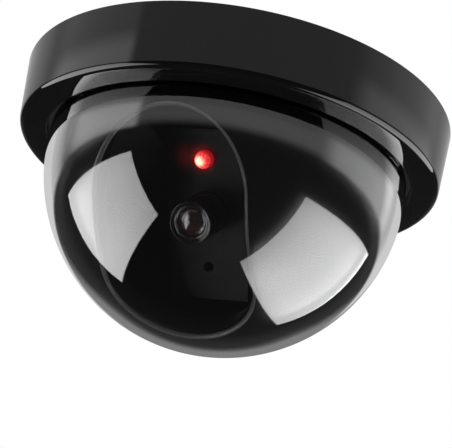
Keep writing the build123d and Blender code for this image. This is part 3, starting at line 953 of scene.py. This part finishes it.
@dataclass
class Liner:
    """The black bowl inside the dome, with an oblong window whose edge turns in.

    The window is a rounded oblong seen along a line that runs through the dome's centre. The bowl is one
    closed grid: each of its columns starts at a point of the window's edge and runs over the bowl to the
    flange.
    """

    shell: Shell = Shell()
    outer: float = 47.7
    inner: float = 46.1
    half_width: float = 19.9
    half_run: float = 11.3
    shift: float = 5.6
    tilt: float = 54.7
    rounding: float = 0.85
    lip_r: float = 41.1
    lip_wall: float = 1.2
    hub: float = -20.0
    flange_r: float = 51.3
    flange_low: float = -14.0
    flange_high: float = -12.4
    columns: int = 480
    over_steps: int = 30
    edge_steps: int = 10
    lip_steps: int = 6
    back_steps: int = 3
    under_steps: int = 24
    post_half: float = 4.0
    post_in: float = 37.1
    post_middle: float = 41.6
    post_out: Point = (45.2, 46.2)
    post_z: Point = (-30.3, -22.3)
    post_bearings: tuple[float, ...] = (33, 147, 213, 327)

    def build(self, finish: bpy.types.Material, edge: bpy.types.Material) -> None:
        """Make the bowl and the chassis posts inside it.

        Args:
            finish: The bowl's finish.
            edge: The finish of the window's rounded edge, a pale colour that paints the rim's highlight.
        """
        bowl = Piece("liner_bowl")
        columns = [self._column(2 * math.pi * i / self.columns) for i in range(self.columns)]
        first = self.over_steps + 1
        # the rounded edge's faces take the pale finish that paints the rim's highlight
        bowl.grid(columns, range(first, first + self.edge_steps - 2))
        low, high = self.post_z
        out_low, out_high = self.post_out
        post = outline([
            Corner(self.post_in, low, 0.4), Corner(out_low, low), Corner(out_high, high),
            Corner(self.post_in, high, 0.4)], 3)
        for bearing in self.post_bearings:
            bowl.sector(post, bearing, 2 * math.degrees(self.post_half / self.post_middle), 6)
        bowl.done(finish, Body.TURRET, "liner", second=edge)

    def _edge(self, turn: float) -> tuple[Vector, Vector]:
        """The window's outline, evenly spaced along its length.

        Args:
            turn: Place round the outline, in radians from the ring side.

        Returns:
            The flat point and the outward direction there.
        """
        length = 4 * self.half_run + 2 * math.pi * self.half_width
        way = (turn / (2 * math.pi) * length) % length
        quarter = math.pi * self.half_width / 2
        for side, mirror in ((way, 1), (length - way, -1)):
            if side <= length / 2:
                break
        if side < quarter:
            a = side / self.half_width
            out = Vector((math.sin(a), math.cos(a)))
            spot = out * self.half_width + Vector((0, self.half_run))
        elif side < quarter + 2 * self.half_run:
            out = Vector((1, 0))
            spot = Vector((self.half_width, self.half_run - (side - quarter)))
        else:
            a = (side - quarter - 2 * self.half_run) / self.half_width
            out = Vector((math.cos(a), -math.sin(a)))
            spot = out * self.half_width - Vector((0, self.half_run))
        spot.y += self.shift
        return Vector((spot.x * mirror, spot.y)), Vector((out.x * mirror, out.y))

    def _lift(self, flat: Vector, reach: float) -> Vector:
        """Move a flat point of the window out along the window's line.

        Args:
            flat: The point, across and up the window.
            reach: How far it moves from the plane through the dome's centre.

        Returns:
            The point in space, from the dome's centre.
        """
        line = math.radians(self.tilt)
        aim = Vector((0, -math.cos(line), -math.sin(line)))
        rise = Vector((0, -math.sin(line), math.cos(line)))
        return Vector((flat.x, 0, 0)) + rise * flat.y + aim * reach

    def _meet(self, flat: Vector, radius: float) -> Vector:
        """Where a flat point meets a bowl: a ball below the centre, a straight wall above it.

        Args:
            flat: The point, across and up the window.
            radius: The bowl's radius.

        Returns:
            The point in space, from the dome's centre.
        """
        spot = self._lift(flat, math.sqrt(max(radius ** 2 - flat.length_squared, 0.0)))
        if spot.z > 0:
            line = math.radians(self.tilt)
            depth = math.sqrt(radius ** 2 - flat.x ** 2)
            spot = self._lift(flat, (depth - flat.y * math.sin(line)) / math.cos(line))
        return spot

    def _sweep(self, start: Vector, radius: float, steps: int) -> list[Vector]:
        """Points over a bowl from a place near the window to the straight neck.

        Args:
            start: The place; the points run from it, away from the hub.
            radius: The bowl's radius.
            steps: Pieces of the way.

        Returns:
            The points, from the dome's centre.
        """
        flat = Vector((start.x, start.y))
        away = (flat - Vector((0, self.hub))).normalized()
        foot = flat - away * flat.dot(away)
        across = math.sqrt(radius ** 2 - foot.length_squared)
        first = math.asin(max(-1.0, min(1.0, flat.dot(away) / across)))
        points = []
        for i in range(steps + 1):
            a = first + (math.pi / 2 - first) * i / steps
            level = foot + away * across * math.sin(a)
            height = start.z if start.z > 0 else -across * math.cos(a)
            points.append(Vector((level.x, level.y, height)))
        return points

    def _column(self, turn: float) -> list[Vector]:
        """All the points of one column of the grid, once round its section.

        Args:
            turn: Place round the window, in radians from the ring side.

        Returns:
            The points, in metres.
        """
        flat, out = self._edge(turn)
        away = self._lift(out, 0.0)
        ball = self._meet(flat + out * self.rounding, self.outer - self.rounding)
        touch = ball.normalized() if ball.z <= 0 else Vector((ball.x, ball.y, 0)).normalized()
        over = self._sweep(ball + touch * self.rounding, self.outer, self.over_steps)
        turns = [(i + 1) / self.edge_steps for i in range(self.edge_steps)]
        edge = [ball + touch.slerp(-away, share) * self.rounding for share in turns]
        low = self._lift(flat, math.sqrt(self.lip_r ** 2 - flat.length_squared))
        wall = [edge[-1].lerp(low, (i + 1) / self.lip_steps) for i in range(self.lip_steps)]
        wide = flat + out * self.lip_wall
        back = self._lift(wide, math.sqrt(self.lip_r ** 2 - wide.length_squared))
        top = self._meet(wide, self.inner)
        under = self._sweep(top, self.inner, self.under_steps)
        behind = [back.lerp(top, i / self.back_steps) for i in range(self.back_steps)]
        rim = Vector((under[-1].x, under[-1].y, 0)).normalized()
        high, flange = self.flange_high - self.shell.centre_z, self.flange_low - self.shell.centre_z
        brim = [rim * self.inner + Vector((0, 0, high)), rim * self.flange_r + Vector((0, 0, high)),
                rim * self.flange_r + Vector((0, 0, flange)), rim * self.outer + Vector((0, 0, flange))]
        points = over[::-1] + edge + wall + behind + under + brim
        return [(point + Vector((0, 0, self.shell.centre_z))) * MM for point in points]


@dataclass
class CameraHead:
    """Lens and lamp on the tilted face, and what stands behind it."""

    foot: Vector = field(default_factory=lambda: Vector((0, -8.4, -34.6)) * MM)
    tilt: float = 36.6
    barrel_r: float = 6.0
    barrel_len: float = 12.7
    bezel_r: float = 4.75
    bezel_top: float = 12.3
    bezel_len: float = 3.2
    lens_r: float = 4.0
    seat: float = 1.8
    lamp_r: float = 2.45
    lamp_rise: float = 1.3
    lamp_up: float = 14.7
    hole_up: float = -15.2
    crown: float = 1.5
    thread_r: float = 3.9
    thread_len: float = 5.0
    bore_floor: float = 3.0
    groove_pitch: float = 1.5
    groove_depth: float = 0.35

    def __post_init__(self) -> None:
        """Work out the face's axes."""
        a = math.radians(self.tilt)
        self.rise = Vector((0, -math.sin(a), math.cos(a)))
        self.out = Vector((0, -math.cos(a), -math.sin(a)))
        self.axle = Axle(self.foot, Vector((1, 0, 0)), self.rise)

    def build(self, finishes: "Finishes") -> None:
        """Make the lens and the lamp and dress the rest.

        Args:
            finishes: The object's finishes.
        """
        self._barrel(finishes.barrel)
        self._bezel(finishes.bezel)
        self._glass(finishes.glass)
        self._iris(finishes.iris)
        self._lamp(finishes.lamp(self))
        dress(finishes.face(self), "camera_bracket")
        dress(finishes.barrel, "lens_nut")
        dress(finishes.glass, "rear_glass")

    def _barrel(self, finish: bpy.types.Material) -> None:
        """Make the barrel with its grip grooves and a stepped mouth.

        Args:
            finish: Its finish.
        """
        r, top, mouth = self.barrel_r, self.barrel_len, self.bezel_r + 0.05
        corners = [Corner(r - 0.15, 0.0, 0.1)]
        for step in range(1, 4):
            low, deep = self.groove_pitch * step, r - self.groove_depth
            corners += [Corner(r, low, 0.08), Corner(deep, low + 0.08, 0.06),
                        Corner(deep, low + 0.52, 0.06), Corner(r, low + 0.6, 0.08)]
        corners += [
            Corner(r, top - 0.35, 0.12), Corner(r - 0.30, top, 0.10), Corner(mouth + 0.50, top, 0.08),
            Corner(mouth + 0.45, top - 0.35, 0.05), Corner(mouth, top - 0.40, 0.05),
            Corner(mouth, self.bore_floor), Corner(0, self.bore_floor), Corner(0, -self.thread_len),
            Corner(self.thread_r, -self.thread_len, 0.2), Corner(self.thread_r, 0.0),
        ]
        barrel = Piece("lens_tube")
        barrel.turn(outline(corners, 4), self.axle, 160)
        barrel.done(finish, Body.TURRET, "lens_barrel", 50)

    def _bezel(self, finish: bpy.types.Material) -> None:
        """Make the ring round the glass, with two fine steps.

        Args:
            finish: Its finish.
        """
        r, top = self.bezel_r, self.bezel_top
        low = top - self.bezel_len
        bezel = Piece("lens_ring")
        bezel.turn(outline([
            Corner(r, low), Corner(r, top - 0.25, 0.08), Corner(r - 0.22, top, 0.07),
            Corner(self.lens_r + 0.32, top, 0.07), Corner(self.lens_r + 0.22, top - 0.3, 0.05),
            Corner(self.lens_r + 0.02, top - 0.5, 0.05), Corner(self.lens_r, top - self.seat),
            Corner(self.lens_r - 0.4, top - self.seat, 0.06), Corner(self.lens_r - 0.55, low, 0.06),
        ], 4), self.axle, 160)
        bezel.done(finish, Body.TURRET, "lens_bezel", 50)

    def _glass(self, finish: bpy.types.Material) -> None:
        """Make the front glass with a domed face and a hollow back.

        Args:
            finish: Its finish.
        """
        r, back, crown = self.lens_r - 0.05, self.bezel_top - self.seat, self.crown
        edge, steps, depth = back + 0.7, 8, 0.45
        ball = (r * r + crown * crown) / (2 * crown)
        sweep = math.degrees(math.asin(r / ball))
        front = arc(ball, edge + crown - ball, 90 - sweep, 90, 24)
        shares = [i / steps for i in range(steps + 1)]
        hollow = [(r * 0.8 * share, back + depth * (1 - share ** 2)) for share in shares]
        glass = Piece("lens_front")
        glass.turn(front + hollow + [(r, back)], self.axle, 128)
        glass.done(finish, Body.TURRET, "front_glass")

    def _iris(self, finish: bpy.types.Material) -> None:
        """Make the brown cup behind the glass.

        Args:
            finish: Its finish.
        """
        top = self.bezel_top - self.bezel_len
        low = top - 3.0
        cup = Piece("iris_funnel")
        cup.turn(outline([
            Corner(self.bezel_r, low), Corner(self.bezel_r, top), Corner(3.75, top, 0.1),
            Corner(2.9, top - 1.1, 0.15), Corner(2.5, top - 1.2, 0.15), Corner(1.6, low, 0.08),
        ], 4), self.axle, 96)
        cup.done(finish, Body.TURRET, "iris_cup")

    def _lamp(self, finish: bpy.types.Material) -> None:
        """Make the lamp's lens with its foot rim and the hollow for the chip.

        Args:
            finish: Its finish.
        """
        r = self.lamp_r
        cap = arc(r, self.lamp_rise, 0, 90, 28)
        foot = [Corner(0, -0.6), Corner(1.1, -0.6, 0.1), Corner(1.1, -3.0), Corner(r + 0.4, -3.0, 0.15),
                Corner(r + 0.4, -2.0, 0.15), Corner(r, -2.0)]
        lamp = Piece("lamp_lens")
        axle = Axle(self.axle.point(0, self.lamp_up, 0), self.axle.across, self.rise)
        lamp.turn(cap + outline(foot, 4), axle, 96)
        lamp.done(finish, Body.TURRET, "lamp_bulb")


@dataclass
class Inside:
    """What the liner hides: chassis, cells, board, switch, wires and fixings."""

    def build(self, finishes: "Finishes") -> None:
        """Dress it all.

        Args:
            finishes: The object's finishes.
        """
        dress(finishes.satin, "mount_plate", "retainer_ring", "chassis_plate", "cell_holder",
              "switch_body", "switch_knob", "board_chip", "board_resistors")
        dress(finishes.chrome, "lamp_die")
        dress(finishes.board, "blinker_board")
        dress(finishes.cells, "battery_cells")
        dress(finishes.can, "board_capacitor")
        dress(finishes.red_wire, "wire_red", "wire_switch")
        dress(finishes.black_wire, "wire_black")
        dress(finishes.steel, "retainer_screws", "chassis_screws", "bracket_screws", "board_screws",
              "lamp_leads", "cell_contacts", "cell_springs", "switch_pins")


@dataclass
class Finishes:
    """Every material of the object, made once."""

    def __post_init__(self) -> None:
        """Make them."""
        self.gloss = material("gloss_black", MouldedPlastic(
            colour=(0.004, 0.004, 0.0043), gloss=0.02, drift=0.03, skin_depth=0.0005 * MM).paint)
        self.satin = material("satin_black", MouldedPlastic(
            colour=(0.014, 0.014, 0.015), gloss=0.42, skin_depth=0.01 * MM).paint)
        self.liner = material("liner_black", MouldedPlastic(
            colour=(0.003, 0.003, 0.0033), gloss=0.14).paint)
        # painted highlight: pale grey on the liner window's rounded edge stands in for the rim's highlight
        self.painted_rim_highlight = material("liner_cut_edge", MouldedPlastic(
            colour=(0.085, 0.085, 0.086), gloss=0.34, skin_scale=2200, skin_depth=0.01 * MM).paint)
        self.barrel = material("barrel_black", MouldedPlastic(
            colour=(0.003, 0.003, 0.003), gloss=0.10).paint)
        self.bezel = material("dark_chrome", PlatedMetal(
            colour=(0.24, 0.24, 0.245), gloss=0.04, scratch=0.06).paint)
        self.chrome = material("chrome", PlatedMetal(
            colour=(0.85, 0.85, 0.86), gloss=0.05, scratch=0.05).paint)
        self.glass = material("lens_glass", LensGlass().paint)
        self.iris = material("iris_brown", MouldedPlastic(
            colour=(0.30, 0.10, 0.08), gloss=0.26).paint)
        self.board = material("board_green", CircuitBoard().paint)
        self.cells = material("cell_jacket", CellJacket().paint)
        self.can = material("can_aluminium", PlatedMetal(colour=(0.75, 0.75, 0.77), gloss=0.3).paint)
        self.steel = material("steel", PlatedMetal().paint)
        self.red_wire = material("wire_red", MouldedPlastic(
            colour=(0.5, 0.012, 0.01), gloss=0.35).paint)
        self.black_wire = material("wire_black", MouldedPlastic(
            colour=(0.01, 0.01, 0.01), gloss=0.35).paint)
        self.clear = material("clear_acrylic", ClearDome().paint)

    def lamp(self, head: CameraHead) -> bpy.types.Material:
        """The lit lamp's finish."""
        spot = head.axle.point(-0.55, head.lamp_up - 0.1, head.lamp_rise + 2.3)
        return material("lamp_red", LitLamp(spot, head.lamp_r * MM).paint)

    def face(self, head: CameraHead) -> bpy.types.Material:
        """The tilted face's finish.

        Args:
            head: The camera head.

        Returns:
            The material, with a painted red glow near the lamp and worn round the small hole.
        """
        # the first two points centre the painted red glow of the lamp on the face
        glow = head.axle.point(-5.2, head.lamp_up + 0.4, 0)
        lamp = head.axle.point(-0.6, head.lamp_up, 0)
        hole = head.axle.point(0, head.hole_up, 0)
        return material("face_black", CameraFace(lamp, glow, hole).paint)


def main() -> None:
    """Build the studio and the object."""
    logging.basicConfig(level=logging.INFO, format="%(message)s")
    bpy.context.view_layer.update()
    Studio().build()
    finishes = Finishes()
    Cover().build(finishes.gloss, finishes.clear)
    Liner().build(finishes.liner, finishes.painted_rim_highlight)
    CameraHead().build(finishes)
    Inside().build(finishes)


if __name__ == "__main__":
    main()
